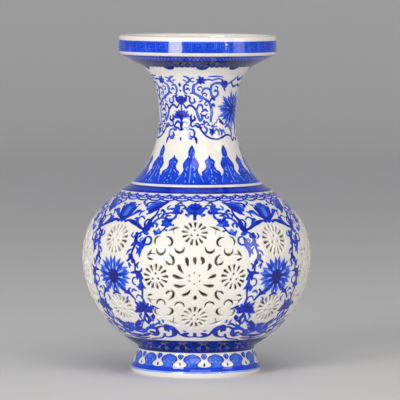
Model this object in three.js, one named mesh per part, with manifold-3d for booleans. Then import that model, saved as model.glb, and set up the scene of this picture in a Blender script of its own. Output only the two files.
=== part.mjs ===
// Double-walled openwork porcelain vase with a dish mouth, as the sections it is made from. Each one
// is formed on its own, luted to the next with a ring of slip, pierced, painted, glazed and fired.
// Units are millimetres, +Z is up, and the origin is the centre of the foot's underside.
import * as THREE from "three";
import { mergeVertices } from "three/addons/utils/BufferGeometryUtils.js";
import Module from "manifold-3d";

const wasm = await Module();
wasm.setup();

// Driving dimensions.
const HEIGHT = 280;
const MOUTH_RADIUS = 65.4;
const NECK_RADIUS = 31.7;
const SHOULDER_RADIUS = 53.6;
const BELLY_RADIUS = 95;
const EQUATOR = 97.5; // height of the belly's widest line
const BELLY_RISE = 72.1; // semi-axes of the half ellipses above and below it
const BELLY_FALL = 87;
const WAIST_RADIUS = 48.3;
const WAIST_HEIGHT = 20.5;
const FOOT_RADIUS = 53.8;
const WALL = 4.2; // mouth, neck and pierced shell
const LINER_WALL = 3.6;
const LINER_RADIUS = 83.2;
const LINER_NECK_RADIUS = 50.2;
const BASE_WALL = 5;
const BASE_RECESS = 14; // height of the base's underside above the table
const SLIP = 0.7; // thickness of a ring of slip
const FIT = 0.3; // clearance at every joint face
const SEGMENTS = 36;

// Heights of the joints, each at the middle of its ring of slip.
const MOUTH_JOINT = 249;
const SHOULDER_JOINT = 158.8;
const COLLAR_JOINT = 152;
const BELLY_JOINT = 105.1;
const LINER_JOINT = 97;
const FOOT_JOINT = 31.6;
const HALF_JOINT = SLIP / 2 + FIT;

// The liner's upper and lower halves are each made in two courses, which meet at these heights.
const LINER_SHOULDER = 131;
const LINER_BOWL = 60;

// Pierced medallions: four large ones, and a small one above and below each gap between them.
const MEDALLION_HEIGHT = 85.6;
const SMALL_UPPER_HEIGHT = 116.1;
const SMALL_LOWER_HEIGHT = 58.7;

const point = (radius, height) => new THREE.Vector2(radius, height);
const curve = (steps, ...corners) =>
  new THREE.CubicBezierCurve(...corners.map(([r, z]) => point(r, z))).getPoints(steps);

// A wall's inner face: its outer face, listed downwards, moved towards the axis and listed upwards.
function innerFace(outer, wall) {
  const last = outer.length - 1;
  const moved = outer.map((p, i) => {
    const along = outer[Math.min(i + 1, last)].clone().sub(outer[Math.max(i - 1, 0)]).normalize();
    return i % last === 0
      ? point(p.x + wall / along.y, p.y)
      : point(p.x + along.y * wall, p.y - along.x * wall);
  });
  return moved.filter((p, i) => i % last === 0 || (p.y < outer[0].y && p.y > outer[last].y)).reverse();
}

// The part of a profile, listed downwards, that lies between two heights.
function between(profile, low, high) {
  const kept = [];
  profile.forEach((p, i) => {
    if (p.y >= low && p.y <= high) kept.push(p);
    const next = profile[i + 1];
    if (!next) return;
    for (const limit of [high, low])
      if (p.y > limit && next.y < limit)
        kept.push(p.clone().lerp(next, (limit - p.y) / (next.y - p.y)));
  });
  return kept;
}

// Outer profiles, all listed downwards.
const neckProfile = [
  ...curve(4, [47.8, 255.6], [37.6, 250.2], [NECK_RADIUS, 234], [NECK_RADIUS, 212.5]),
  ...curve(5, [NECK_RADIUS, 212.5], [NECK_RADIUS, 190], [40, 170.5], [53, SHOULDER_JOINT]).slice(1),
  point(SHOULDER_RADIUS, SHOULDER_JOINT - 2),
];
const bellyArc = (steps, semiAxis, top, bottom) => {
  const angle = (height) => Math.asin((height - EQUATOR) / semiAxis);
  return new THREE.EllipseCurve(0, EQUATOR, BELLY_RADIUS, semiAxis, angle(top), angle(bottom), true)
    .getPoints(steps);
};
const bellyProfile = [
  ...bellyArc(6, BELLY_RISE, COLLAR_JOINT, EQUATOR),
  ...bellyArc(7, BELLY_FALL, EQUATOR, 25).slice(1),
  point(50.2, 23.4), point(48.8, 22), point(WAIST_RADIUS, WAIST_HEIGHT),
];
const linerProfile = [
  ...curve(4, [LINER_NECK_RADIUS, 152], [66, 143], [LINER_RADIUS, 124], [LINER_RADIUS, LINER_JOINT]),
  ...curve(4, [LINER_RADIUS, LINER_JOINT], [LINER_RADIUS, 68], [66, 42], [45, 30.5]).slice(1),
];

// A solid turned about the Z axis, from its outer face listed downwards and its inner face upwards.
function turned(...faces) {
  const outline = faces.flat().reverse();
  if (outline[0].x !== 0) outline.push(outline[0].clone());
  return new THREE.LatheGeometry(outline, SEGMENTS).rotateX(Math.PI / 2);
}

function toSolid(geometry) {
  const bare = geometry.clone();
  bare.deleteAttribute("normal");
  bare.deleteAttribute("uv");
  const merged = mergeVertices(bare, 1e-3);
  return new wasm.Manifold(new wasm.Mesh({
    numProp: 3,
    vertProperties: merged.attributes.position.array,
    triVerts: new Uint32Array(merged.index.array),
  }));
}

function toGeometry(solid) {
  const mesh = solid.getMesh();
  return new THREE.BufferGeometry()
    .setAttribute("position", new THREE.BufferAttribute(mesh.vertProperties, 3))
    .setIndex(new THREE.BufferAttribute(mesh.triVerts, 1));
}

// One hole: a flat outline in (across, up) pushed outwards through the belly at a height and azimuth.
function hole(outline, height, azimuth) {
  return wasm.Manifold.extrude([outline], 48)
    .rotate([90, 0, 0])
    .translate([0, -60, height])
    .rotate([0, 0, azimuth]);
}

// A ring of petal-shaped slots about a centre: each has a narrow foot and a broad outer end.
function petals(count, centre, innerRadius, outerRadius, width, turn) {
  const length = outerRadius - innerRadius;
  const outline = [[0, -0.22], [1, -0.5], [1, 0.5], [0, 0.22]]
    .map(([along, across]) => [innerRadius + along * length, across * width]);
  return Array.from({ length: count }, (_, i) => {
    const angle = ((i * 360) / count + turn) * (Math.PI / 180);
    const [c, s] = [Math.cos(angle), Math.sin(angle)];
    return outline.map(([x, y]) => [centre[0] + x * c - y * s, centre[1] + x * s + y * c]);
  });
}

// A leaf-shaped slot in a diagonal of the large medallion, bent round its rim.
function rimSlot(towards) {
  const arc = (radius, from, to) => [0, 1, 2].map((i) => {
    const angle = ((from + ((to - from) * i) / 2) * Math.PI) / 180;
    return [radius * Math.cos(angle), radius * Math.sin(angle)];
  });
  return [...arc(40.2, towards - 9, towards + 9), ...arc(35.6, towards + 6, towards - 6)];
}

const medallion = [
  ...petals(12, [0, 0], 10.4, 18.2, 4.2, 15),
  ...[[31.8, 1], [-31.8, 1], [0, 36.8], [0, -33.4]]
    .flatMap((centre) => petals(5, centre, 3.4, 10.2, 4.8, 90)),
  ...[45, 135, 225, 315].map(rimSlot),
];
const smallFlower = petals(5, [0, 0], 3.6, 10.2, 5, 90);

const quarters = [0, 90, 180, 270];
const piercing = wasm.Manifold.union(quarters.flatMap((azimuth) => [
  ...medallion.map((outline) => hole(outline, MEDALLION_HEIGHT, azimuth)),
  ...smallFlower.map((outline) => hole(outline, SMALL_UPPER_HEIGHT, azimuth + 45)),
  ...smallFlower.map((outline) => hole(outline, SMALL_LOWER_HEIGHT, azimuth + 45)),
]));
const pierced = (geometry) => toGeometry(toSolid(geometry).subtract(piercing));

// Mouth: a dish with an upright wall, a rounded lip and a floor that slopes into the throat.
function mouthDish() {
  const lip = WALL / 2;
  const crest = HEIGHT - lip;
  const inner = MOUTH_RADIUS - WALL;
  const rounding = [135, 90, 45].map((degrees) => {
    const angle = (degrees * Math.PI) / 180;
    return point(MOUTH_RADIUS - lip + lip * Math.cos(angle), crest + lip * Math.sin(angle));
  });
  const throat = between(neckProfile, MOUTH_JOINT + HALF_JOINT, HEIGHT);
  const outside = [
    point(MOUTH_RADIUS, crest),
    ...curve(3, [MOUTH_RADIUS, 266.6], [MOUTH_RADIUS, 263.6], [60.4, 262.4], [55, 259.2]),
    ...throat,
  ];
  const inside = [
    ...innerFace(throat, WALL).slice(0, -1),
    ...curve(3, [50.5, 262.2], [57, 265.6], [inner, 266.6], [inner, 271.5]),
    point(inner, crest),
  ];
  return turned(outside, inside, rounding);
}

// A length of wall between two heights.
function section(profile, wall, bottom, top) {
  const outer = between(profile, bottom, top);
  return turned(outer, innerFace(outer, wall));
}

// Collar: the raised string line and the sloping band that carry the shell outside and the liner inside.
function shoulderCollar() {
  const top = SHOULDER_JOINT - HALF_JOINT;
  const bottom = COLLAR_JOINT + HALF_JOINT;
  return turned(
    [
      point(SHOULDER_RADIUS - 0.3, top), point(SHOULDER_RADIUS + 0.7, top - 0.5),
      point(SHOULDER_RADIUS + 0.7, top - 1.1), point(SHOULDER_RADIUS + 1.2, top - 1.6),
      point(57.9, 154.6), point(61, bottom),
    ],
    [point(LINER_NECK_RADIUS - LINER_WALL, bottom), point(SHOULDER_RADIUS - 6, 155.6),
      point(SHOULDER_RADIUS - 4.6, top)],
  );
}

// Bottom course of the liner: the bowl that holds the water, with a flat floor on the base.
function linerBowl() {
  const floor = BASE_RECESS + BASE_WALL + FIT;
  const wall = between(linerProfile, 0, LINER_BOWL - FIT / 2);
  return turned(
    [...wall, point(39, 25.4), point(32, floor), point(0, floor)],
    [point(0, floor + LINER_WALL), point(31, floor + LINER_WALL), point(37, 28.6),
      ...innerFace(wall, LINER_WALL)],
  );
}

// Foot: the hollow below the belly and the spreading ring that stands on the table.
function foot() {
  const waist = between(bellyProfile, WAIST_HEIGHT, FOOT_JOINT - HALF_JOINT);
  return turned(
    [
      ...waist, point(48.5, 18.4), point(50.2, 15), point(51.9, 11), point(52.6, 7.4),
      point(FOOT_RADIUS, 5), point(FOOT_RADIUS, 2.4), point(FOOT_RADIUS - 1.4, 0),
    ],
    [point(48.2, 0), point(46.6, 2.2), point(44.4, 11), ...innerFace(waist, WALL)],
  );
}

// A ring of slip between two sections, as wide as the walls it joins.
function slip(joint, innerRadius, outerRadius) {
  const [high, low] = [joint + SLIP / 2, joint - SLIP / 2];
  return turned(
    [point(outerRadius, high), point(outerRadius, low)],
    [point(innerRadius, low), point(innerRadius, high)],
  );
}

const vase = new THREE.Group();
function add(name, geometry, color, roughness) {
  const mesh = new THREE.Mesh(geometry, new THREE.MeshStandardMaterial({ color, roughness, metalness: 0 }));
  mesh.name = name;
  vase.add(mesh);
}
const [GLAZE, COBALT, BISCUIT] = [0xeeede8, 0x2a4fae, 0xe4dccb];

const neckTube = section(neckProfile, WALL, SHOULDER_JOINT + HALF_JOINT, MOUTH_JOINT - HALF_JOINT);
const upperShell = section(bellyProfile, WALL, BELLY_JOINT + HALF_JOINT, COLLAR_JOINT - HALF_JOINT);
const lowerShell = section(bellyProfile, WALL, FOOT_JOINT + HALF_JOINT, BELLY_JOINT - HALF_JOINT);
const linerCourse = (bottom, top) => section(linerProfile, LINER_WALL, bottom, top);

add("mouth_dish", mouthDish(), COBALT, 0.12);
add("neck", neckTube, GLAZE, 0.12);
add("shoulder_collar", shoulderCollar(), COBALT, 0.12);
add("belly_upper", pierced(upperShell), GLAZE, 0.12);
add("belly_lower", pierced(lowerShell), GLAZE, 0.12);
add("foot", foot(), GLAZE, 0.12);
add("base_disc", turned([
  point(0, BASE_RECESS + BASE_WALL), point(43.4, BASE_RECESS + BASE_WALL),
  point(43.4, BASE_RECESS + 1), point(42.4, BASE_RECESS), point(0, BASE_RECESS),
]), GLAZE, 0.3);
add("liner_shoulder", linerCourse(LINER_SHOULDER + FIT / 2, COLLAR_JOINT - HALF_JOINT), GLAZE, 0.2);
add("liner_upper", linerCourse(LINER_JOINT + HALF_JOINT, LINER_SHOULDER - FIT / 2), GLAZE, 0.2);
add("liner_lower", linerCourse(LINER_BOWL + FIT / 2, LINER_JOINT - HALF_JOINT), GLAZE, 0.2);
add("liner_bowl", linerBowl(), GLAZE, 0.2);
add("mouth_seam", slip(MOUTH_JOINT, 34.4, 40.2), BISCUIT, 0.7);
add("shoulder_seam", slip(SHOULDER_JOINT, 49.2, 53), BISCUIT, 0.7);
add("collar_seam", slip(COLLAR_JOINT, 57, 61.4), BISCUIT, 0.7);
add("belly_seam", slip(BELLY_JOINT, 89.8, 94), BISCUIT, 0.7);
add("foot_seam", slip(FOOT_JOINT, 55.4, 61.2), BISCUIT, 0.7);
add("liner_seam", slip(LINER_JOINT, LINER_RADIUS - LINER_WALL, LINER_RADIUS), BISCUIT, 0.7);

export default vase;
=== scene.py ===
import math

import bpy
import numpy as np
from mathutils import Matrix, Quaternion, Vector


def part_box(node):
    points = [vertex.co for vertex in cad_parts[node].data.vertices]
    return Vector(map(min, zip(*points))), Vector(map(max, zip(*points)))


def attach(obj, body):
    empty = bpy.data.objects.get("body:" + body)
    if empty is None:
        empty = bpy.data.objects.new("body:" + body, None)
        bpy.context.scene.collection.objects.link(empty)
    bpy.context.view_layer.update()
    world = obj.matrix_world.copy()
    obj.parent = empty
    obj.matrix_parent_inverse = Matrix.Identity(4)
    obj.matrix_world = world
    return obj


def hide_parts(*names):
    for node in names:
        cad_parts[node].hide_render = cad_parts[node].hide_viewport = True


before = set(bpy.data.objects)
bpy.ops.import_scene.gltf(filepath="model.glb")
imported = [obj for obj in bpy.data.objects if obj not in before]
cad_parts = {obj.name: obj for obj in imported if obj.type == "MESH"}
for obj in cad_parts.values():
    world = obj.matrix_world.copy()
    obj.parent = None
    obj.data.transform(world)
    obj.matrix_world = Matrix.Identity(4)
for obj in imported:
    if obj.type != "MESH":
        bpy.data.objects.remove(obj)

# The visual model of the openwork porcelain vase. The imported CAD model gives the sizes; the surfaces here
# are finer turned meshes with the cobalt painting stored on them and the piercing cut through them.
# The drawing code works in millimetres, measured down a surface and round it, with azimuth 0 at the front.
MM = 0.001
DEGREES = 180 / math.pi  # the scale radius at which 1 across is 1 degree
BLANK = -5.0  # the stored distance where a surface has no paint or hole
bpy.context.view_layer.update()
rng = np.random.default_rng(7)


def cad(node, corner, axis):
    """One coordinate of a CAD node's box in millimetres: corner 0 is the lowest, 1 the highest."""
    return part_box(node)[corner][axis] / MM


HEIGHT = cad("mouth_dish", 1, 2)
MOUTH_R = cad("mouth_dish", 1, 0)
BELLY_R = cad("belly_lower", 1, 0)
BASE_R = cad("base_disc", 1, 0)
FOOT_R = BASE_R + 10.4  # the foot spreads this far past the base
BASE_LOW = cad("base_disc", 0, 2)
BASE_HIGH = cad("base_disc", 1, 2)
LINER_R = cad("liner_upper", 1, 0)
LINER_FLOOR = cad("liner_bowl", 0, 2)


def joint(lower, upper):
    """The height where two CAD sections meet, in the middle of the slip between them."""
    return (cad(lower, 1, 2) + cad(upper, 0, 2)) / 2


MOUTH_JOINT = joint("neck", "mouth_dish")
SHOULDER_JOINT = joint("shoulder_collar", "neck")
COLLAR_JOINT = joint("belly_upper", "shoulder_collar")
BELLY_JOINT = joint("belly_lower", "belly_upper")
FOOT_JOINT = joint("foot", "belly_lower")

WALL = 4.2
LINER_WALL = 3.6
LIP = WALL / 2  # radius of the rounded lip
EQUATOR = 97.5  # height of the belly's widest line
BELLY_RISE = 72.1  # semi-axis of the belly's upper half ellipse
BELLY_FALL = 87.0  # and of its lower one
NECK_R = 31.7
NECK_WAIST = 212.5
STRING_R = 54.3  # radius of the raised white line round the shoulder


# ---------------------------------------------------------------------------------------------- outlines

def bezier(p0, p1, p2, p3, steps=24):
    t = np.linspace(0, 1, steps)[:, None]
    p0, p1, p2, p3 = (np.array(p, float) for p in (p0, p1, p2, p3))
    return (1 - t) ** 3 * p0 + 3 * (1 - t) ** 2 * t * p1 + 3 * (1 - t) * t * t * p2 + t ** 3 * p3


def belly_radius(z):
    rise = np.where(np.asarray(z) > EQUATOR, BELLY_RISE, BELLY_FALL)
    return BELLY_R * np.sqrt(1 - ((z - EQUATOR) / rise) ** 2)


def belly_outline(top, bottom):
    z = np.linspace(top, bottom, 160)
    return np.column_stack([belly_radius(z), z])


def neck_outline():
    upper = bezier((47.8, 255.6), (37.6, 250.2), (NECK_R, 234), (NECK_R, NECK_WAIST))
    lower = bezier((NECK_R, NECK_WAIST), (NECK_R, 190), (40, 170.5), (STRING_R - 1.3, SHOULDER_JOINT))
    return np.vstack([upper, lower[1:]])


def mouth_outline():
    """From the crest of the lip down the upright wall and the flaring underside to the neck."""
    a = np.linspace(0, math.pi / 2, 7)
    lip = np.column_stack([MOUTH_R - LIP + LIP * np.sin(a), HEIGHT - LIP + LIP * np.cos(a)])
    flare = bezier((MOUTH_R, 266.6), (MOUTH_R, 263.6), (60.4, 262.4), (55, 259.2))
    throat = clip_heights(neck_outline(), MOUTH_JOINT, 255.5)
    return np.vstack([lip, flare, throat])


def foot_outline():
    hollow = [(50.2, 23.4), (48.8, 22), (48.3, 20.5), (48.5, 18.4), (50.2, 15), (51.9, 11), (52.6, 7.4),
              (FOOT_R - 0.1, 5), (FOOT_R, 2.4), (FOOT_R - 1.4, 0)]
    return np.vstack([belly_outline(FOOT_JOINT, 25), smooth(hollow, 6)])


def liner_outline():
    upper = bezier((50.2, COLLAR_JOINT), (66, 143), (LINER_R, 124), (LINER_R, 97))
    lower = bezier((LINER_R, 97), (LINER_R, 68), (66, 42), (45, 30.5))
    return np.vstack([upper, lower[1:]])


def inner(line, wall):
    """A wall's inner face, listed upwards, from its outer face listed downwards."""
    moved = line - outward(line) * wall
    return clip_heights(moved, line[-1, 1], line[0, 1])[::-1]


def clip_heights(line, low, high):
    """The part of a falling outline between two heights."""
    inside = line[(line[:, 1] < high) & (line[:, 1] > low)]
    ends = [(np.interp(-z, -line[:, 1], line[:, 0]), z) for z in (high, low)]
    return np.vstack([ends[0], inside, ends[1]])


def resample(line, count):
    along = np.concatenate([[0], np.cumsum(np.hypot(*np.diff(line, axis=0).T))])
    s = np.linspace(0, along[-1], count)
    return np.column_stack([np.interp(s, along, line[:, 0]), np.interp(s, along, line[:, 1])])


def outward(line):
    """Unit normals of a falling outline, pointing away from the axis."""
    d = np.gradient(line, axis=0)
    n = np.column_stack([-d[:, 1], d[:, 0]])
    return n / np.linalg.norm(n, axis=1)[:, None]


# ------------------------------------------------------------------------------------- painting surfaces

class Canvas:
    """A surface of revolution sampled in rows down it and columns round it.

    ink is the distance in mm inside the painted shapes, tone the strength of the cobalt there, and hole
    the distance inside the pierced holes. All three are negative or nil outside."""

    def __init__(self, outline, spacing, columns):
        length = np.hypot(*np.diff(outline, axis=0).T).sum()
        line = resample(outline, int(round(length / spacing)) + 1)
        self.r, self.z = line.T
        self.s = np.linspace(0, length, len(line))
        self.columns = columns
        self.step = 2 * math.pi / columns
        self.ink = np.full((len(line), columns), BLANK)
        self.tone = np.zeros_like(self.ink)
        self.hole = np.full_like(self.ink, BLANK)

    def down(self, z):
        """Distance down the surface at a height."""
        return np.interp(-np.asarray(z, float), -self.z, self.s)

    def lay(self, rows, cols, d, tone):
        block = np.ix_(rows, cols)
        ink, old = self.ink[block], self.tone[block]
        cover = np.clip(d / 0.5 + 0.5, 0, 1)
        base = np.where((ink < 0) & (d > ink), tone, old)
        self.tone[block] = base * (1 - cover) + tone * cover
        self.ink[block] = np.maximum(ink, d)

    def field(self, path, widths):
        """Rows, columns and distance inside a brush stroke along (azimuth, distance down) points."""
        half = np.interp(np.linspace(0, 1, len(path)), np.linspace(0, 1, len(widths)), widths) / 2
        middle = (path[:, 0].min() + path[:, 0].max()) / 2
        px = (path[:, 0] - middle) * np.interp(path[:, 1], self.s, self.r)
        py = path[:, 1]
        pad = half.max() + 1.6
        first, last = np.searchsorted(self.s, [py.min() - pad, py.max() + pad])
        if last - first < 1:
            return None
        radius = self.r[first:last]
        angle = (np.abs(px).max() + pad) / radius.min()
        first_col = math.floor((middle - angle) / self.step)
        last_col = math.ceil((middle + angle) / self.step)
        cols = np.arange(first_col, last_col + 1)
        gx = radius[:, None] * (cols * self.step - middle)[None, :]
        gy = self.s[first:last, None]
        d = np.full(gx.shape, BLANK)
        for i in range(len(path) - 1):
            ex, ey = px[i + 1] - px[i], py[i + 1] - py[i]
            t = np.clip(((gx - px[i]) * ex + (gy - py[i]) * ey) / (ex * ex + ey * ey + 1e-9), 0, 1)
            gap = np.hypot(gx - px[i] - t * ex, gy - py[i] - t * ey)
            np.maximum(d, half[i] + (half[i + 1] - half[i]) * t - gap, out=d)
        return np.arange(first, last), cols % self.columns, d

    def brush(self, path, widths, tone):
        found = self.field(path, widths)
        if found:
            self.lay(*found, tone)

    def pierce(self, path, widths):
        found = self.field(path, widths)
        if found:
            rows, cols, d = found
            block = np.ix_(rows, cols)
            self.hole[block] = np.maximum(self.hole[block], d)

    def fill(self, inside, tone):
        """Lays a tone over the whole surface where inside, in mm, is positive."""
        everything = (np.arange(len(self.s)), np.arange(self.columns))
        self.lay(*everything, np.broadcast_to(inside, self.ink.shape), tone)

    def azimuth(self):
        return np.arange(self.columns)[None, :] * self.step

    def aside(self, first, count):
        """Distance round the surface from the nearest of count centres, in mm and in repeats, signed."""
        pitch = 2 * math.pi / count
        angle = (self.azimuth() - math.radians(first) + pitch / 2) % pitch - pitch / 2
        return angle * self.r[:, None], angle / pitch

    def band(self, low, high, tone):
        """Paints between two heights."""
        middle, half = (high + low) / 2, (high - low) / 2
        self.fill(half - np.abs(self.z - middle)[:, None], tone)

    def shape(self, first, count, outline, tone, inset=0.0):
        """Fills a mirrored shape given as (height, half width in degrees), highest first."""
        z, half = np.array(outline, float).T
        width = np.radians(np.interp(-self.z, -z, half, left=-9, right=-9)) * self.r
        x, _ = self.aside(first, count)
        self.fill(width[:, None] - np.abs(x) - inset, tone)


def smooth(points, per_span=5):
    """A Catmull-Rom curve through points."""
    p = np.array(points, float)
    if len(p) < 3:
        return p
    p = np.vstack([2 * p[0] - p[1], p, 2 * p[-1] - p[-2]])
    t = np.linspace(0, 1, per_span, endpoint=False)[:, None]
    spans = []
    for a, b, c, d in zip(p[:-3], p[1:-2], p[2:-1], p[3:]):
        spans.append(0.5 * (2 * b + (c - a) * t + (2 * a - 5 * b + 4 * c - d) * t * t
                            + (3 * b - a - 3 * c + d) * t ** 3))
    return np.vstack(spans + [p[-2:-1]])


def arc(x, y, radius, start, end):
    """Points of an arc, angles in degrees anticlockwise from +x."""
    a = np.radians(np.linspace(start, end, 12))
    return np.column_stack([x + radius * np.cos(a), y + radius * np.sin(a)])


def spaced(first, count):
    """Places of a motif that repeats count times round the vase, the first at an azimuth in degrees."""
    return [(math.radians(first + 360 / count * k), 1) for k in range(count)]


def mirrored(first, count):
    """As spaced, with each motif drawn on both sides of its middle."""
    return [(centre, side) for centre, _ in spaced(first, count) for side in (1, -1)]


class Pen:
    """Draws strokes given as (across, up) points, at every repeat of a motif, each a little differently.

    Points are in mm across at the scale radius, in degrees where the scale is DEGREES, or in true mm at
    each height where it is None. Up is a height where up_zero is None, or else is counted up the surface
    from up_zero. The pen's own across is its units to 1 mm, for leaves, petals, curls and wobble."""

    def __init__(self, canvas, scale, up_zero, repeats, wobble=0.16, across=1.0, boldness=1.0):
        self.canvas, self.scale, self.up_zero = canvas, scale, up_zero
        self.repeats, self.wobble, self.across = repeats, wobble, across
        self.boldness = boldness

    def paths(self, points):
        points = np.asarray(points, float)
        s = self.canvas.down(points[:, 1]) if self.up_zero is None else self.up_zero - points[:, 1]
        radius = np.interp(s, self.canvas.s, self.canvas.r) if self.scale is None else self.scale
        for centre, side in self.repeats:
            shift = rng.normal(0, self.wobble, 2)
            theta = centre + side * (points[:, 0] + shift[0] * self.across) / radius
            yield np.column_stack([theta, s + shift[1]])

    def stroke(self, points, widths, tone=0.8, core=None):
        """A stroke of the brush, with a paler core where it was outlined first and then filled."""
        for path in self.paths(smooth(points)):
            full = np.array(widths) * self.boldness * rng.uniform(0.92, 1.08)
            self.canvas.brush(path, full, tone)
            if core is not None:
                self.canvas.brush(path, full - 1.05, core)

    def curve(self, points, widths, tone=0.8):
        """As stroke, for points that already lie close together."""
        for path in self.paths(points):
            self.canvas.brush(path, np.array(widths) * rng.uniform(0.9, 1.1), tone)

    def curl(self, x, y, radius, start, sweep, width, tone=0.8):
        """A small scroll that winds in round (x, y)."""
        a = np.radians(np.linspace(start, start + sweep, 10))
        k = radius * np.linspace(1, 0.4, 10)
        points = np.column_stack([x + k * np.cos(a) * self.across, y + k * np.sin(a)])
        self.curve(points, width * np.array([0.5, 0.9, 1, 1, 0.9, 0.8, 0.8, 0.9, 1.1, 1.2]), tone)

    def cut(self, points, widths):
        for path in self.paths(smooth(points, 4)):
            self.canvas.pierce(path, np.array(widths))

    def leaf(self, x, y, angle, length, width, tone=0.8):
        """A pointed leaf or petal from its foot (x, y)."""
        a = math.radians(angle)
        c, s = math.cos(a) * self.across, math.sin(a)
        path = [(x + c * length * k, y + s * length * k) for k in (0, 0.25, 0.5, 0.75, 1)]
        self.curve(path, [width * 0.35, width, width * 0.85, width * 0.15], tone)

    def bloom(self, x, y, count, inner, outer, width, tone, start=0, spread=360, squash=1.0, uneven=0.0):
        """Petals round (x, y), from the inner to the outer radius."""
        for k in range(count):
            a = math.radians(k * spread / count + start)
            c, s = math.cos(a) * self.across, math.sin(a) * squash
            reach = outer * (1 - uneven * (k % 2))
            ends = [(x + inner * c, y + inner * s), (x + reach * c, y + reach * s)]
            self.curve(np.linspace(*ends, 5), [width * 0.4, width * 0.8, width, width * 0.7, 0.3], tone)


# ---------------------------------------------------------------------------------------------- meshes

def ring_points(r, z, theta):
    """Grid of points in metres for rows (r, z) and columns theta."""
    return np.stack([r[..., None] * np.sin(theta), -r[..., None] * np.cos(theta),
                     z[..., None] + 0 * theta], -1) * MM


def make_mesh(name, points, faces, attributes, material, normals=None):
    """A mesh object from points, a list of face index arrays with 3, 4, ... columns, and point values."""
    mesh = bpy.data.meshes.new(name)
    sizes = np.concatenate([np.full(len(f), f.shape[1]) for f in faces])
    loops = np.concatenate([f.ravel() for f in faces])
    starts = np.concatenate([[0], np.cumsum(sizes)[:-1]])
    mesh.vertices.add(len(points))
    mesh.vertices.foreach_set("co", points.astype(np.float32).ravel())
    mesh.loops.add(len(loops))
    mesh.loops.foreach_set("vertex_index", loops.astype(np.int32))
    mesh.polygons.add(len(sizes))
    mesh.polygons.foreach_set("loop_start", starts.astype(np.int32))
    mesh.update(calc_edges=True)
    mesh.validate()
    for key, values in attributes.items():
        layer = mesh.attributes.new(key, "FLOAT", "POINT")
        layer.data.foreach_set("value", values.astype(np.float32).ravel())
    mesh.polygons.foreach_set("use_smooth", np.ones(len(mesh.polygons), bool))
    if normals is not None:
        mesh.normals_split_custom_set_from_vertices(normals)
    mesh.materials.append(material)
    obj = bpy.data.objects.new(name, mesh)
    bpy.context.collection.objects.link(obj)
    return obj


def grid_faces(rows, columns, closed):
    """Quads of a grid that wraps round its columns, and round its rows if closed, facing outwards."""
    i = np.arange(rows if closed else rows - 1)[:, None]
    j = np.arange(columns)[None, :]
    below, beside = (i + 1) % rows, (j + 1) % columns
    return np.stack(np.broadcast_arrays(
        i * columns + j, below * columns + j, below * columns + beside, i * columns + beside),
        -1).reshape(-1, 4)


def turned(name, canvas, back, material):
    """A solid of revolution: the painted canvas outside, then the plain outline back up inside."""
    theta = canvas.azimuth()[0]
    r = np.concatenate([canvas.r, back[:, 0]])
    z = np.concatenate([canvas.z, back[:, 1]])
    blank = np.full((len(back), canvas.columns), BLANK)
    attributes = {"ink": np.vstack([canvas.ink, blank]), "tone": np.vstack([canvas.tone, 0 * blank])}
    points = ring_points(r, z, theta).reshape(-1, 3)
    faces = grid_faces(len(r), canvas.columns, True)
    return make_mesh(name, points, [faces], attributes, material)


EDGE_ROUNDING = 0.9  # radius of the glaze-softened edge of each pierced hole


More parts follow.
